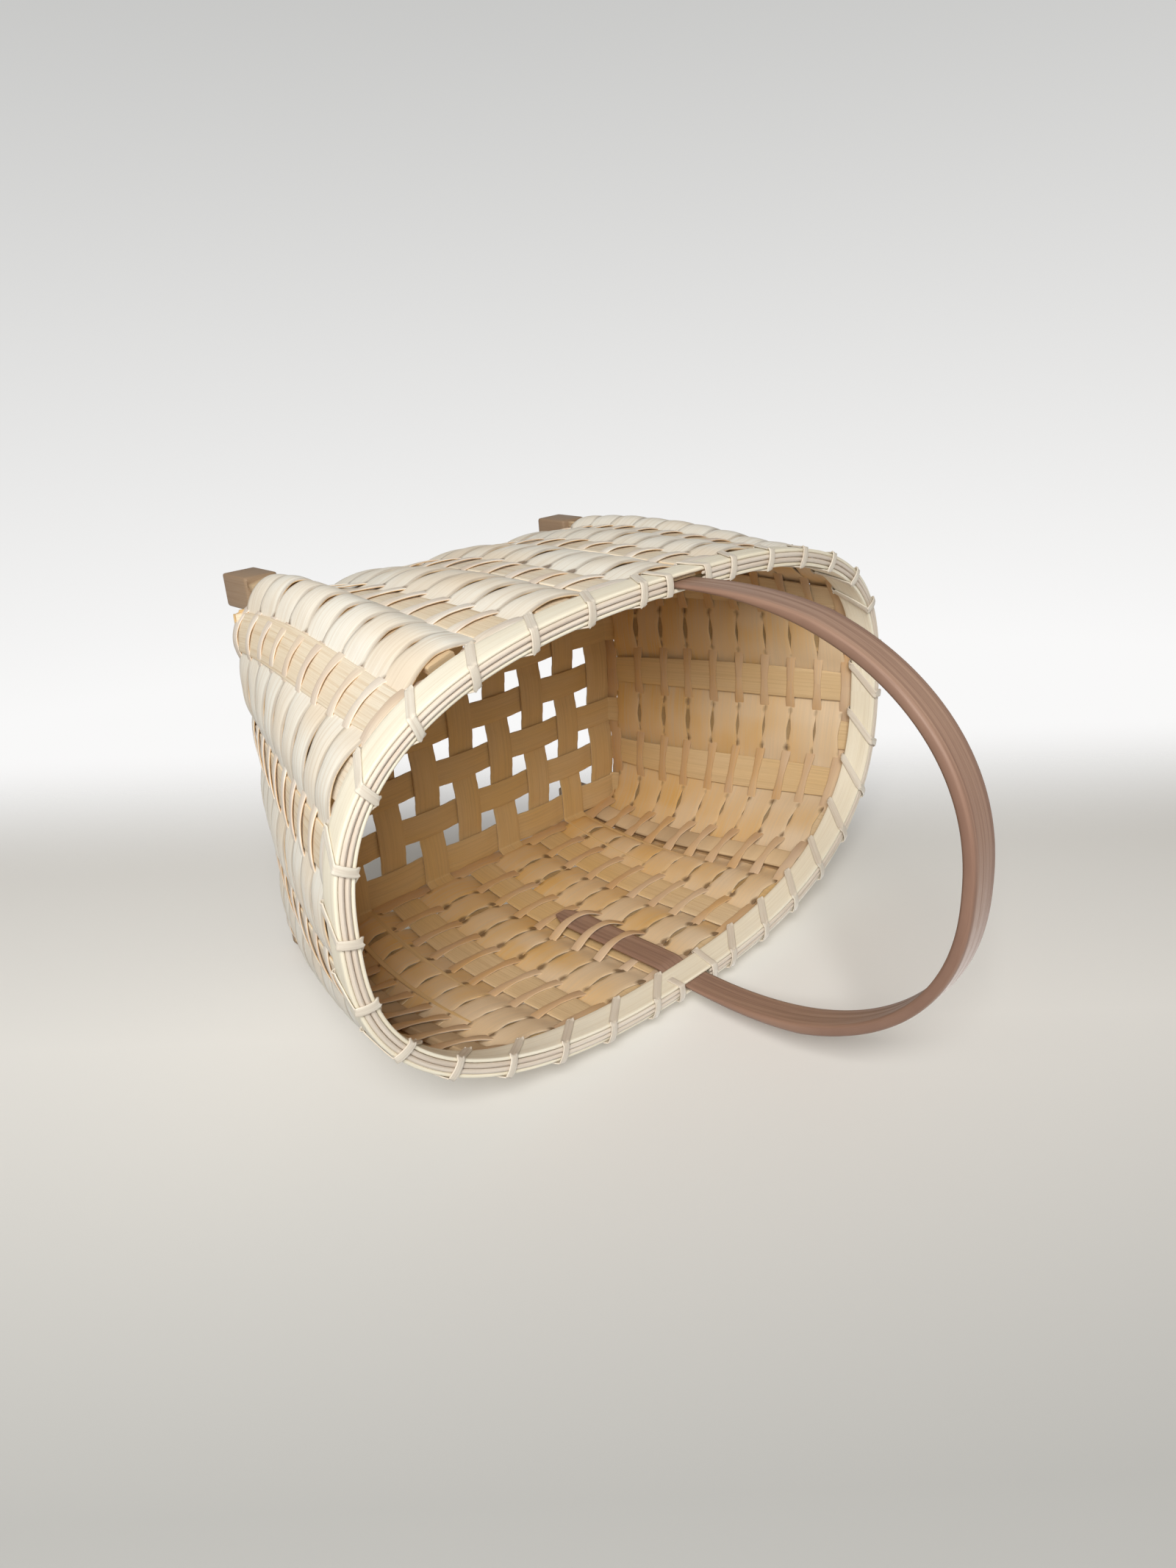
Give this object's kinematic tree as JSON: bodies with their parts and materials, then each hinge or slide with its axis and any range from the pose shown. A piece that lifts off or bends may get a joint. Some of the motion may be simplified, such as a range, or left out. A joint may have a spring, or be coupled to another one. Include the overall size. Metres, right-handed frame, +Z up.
{
  "type": "chair-side basket",
  "caption": "Oval-mouthed basket of plain-woven wood splint on wooden corner feet, with an open plaited bottom, a lashed double-hoop rim and a fixed bent-wood carrying handle across the middle.",
  "frame": {"origin": "on the floor, under the middle of the basket", "axes": "+Z up, X along the length of the mouth, Y across it in the plane of the handle"},
  "size_m": [0.3444, 0.2004, 0.3186],
  "materials": {
    "stake_splint": "bare dry splint, matt",
    "weaver_splint": "bare dry splint, matt with a faint sheen along the grain",
    "rim_hoop": "bare shaved wood, matt",
    "rim_reed": "bare round reed, matt",
    "lashing_bark": "thin flat binding strip, satin",
    "handle_wood": "steam-bent wood, satin",
    "leg_wood": "plain sawn and shaved wood, matt"
  },
  "bodies": {
    "root": {"short_stake_1": "stake_splint", "short_stake_2": "stake_splint", "short_stake_3": "stake_splint", "short_stake_4": "stake_splint", "short_stake_5": "stake_splint", "short_stake_6": "stake_splint", "short_stake_7": "stake_splint", "short_stake_8": "stake_splint", "short_stake_9": "stake_splint", "long_stake_1": "stake_splint", "long_stake_2": "stake_splint", "long_stake_3": "stake_splint", "long_stake_4": "stake_splint", "long_stake_5": "stake_splint", "long_stake_6": "stake_splint", "long_stake_7": "stake_splint", "wide_weaver_1": "weaver_splint", "wide_weaver_2": "weaver_splint", "wide_weaver_3": "weaver_splint", "wide_weaver_4": "weaver_splint", "wide_weaver_5": "weaver_splint", "wide_weaver_6": "weaver_splint", "wide_weaver_7": "weaver_splint", "wide_weaver_8": "weaver_splint", "wide_weaver_9": "weaver_splint", "narrow_weaver_1": "weaver_splint", "narrow_weaver_2": "weaver_splint", "narrow_weaver_3": "weaver_splint", "narrow_weaver_4": "weaver_splint", "narrow_weaver_5": "weaver_splint", "narrow_weaver_6": "weaver_splint", "narrow_weaver_7": "weaver_splint", "narrow_weaver_8": "weaver_splint", "narrow_weaver_9": "weaver_splint", "narrow_weaver_10": "weaver_splint", "rim_outer_hoop": "rim_hoop", "rim_inner_hoop": "rim_hoop", "rim_filler_outer_left": "rim_reed", "rim_filler_inner_left": "rim_reed", "rim_filler_outer_right": "rim_reed", "rim_filler_inner_right": "rim_reed", "rim_lashing_left": "lashing_bark", "rim_lashing_right": "lashing_bark", "handle": "handle_wood", "leg_1": "leg_wood", "leg_2": "leg_wood", "leg_3": "leg_wood", "leg_4": "leg_wood"}
  },
  "joints": []
}
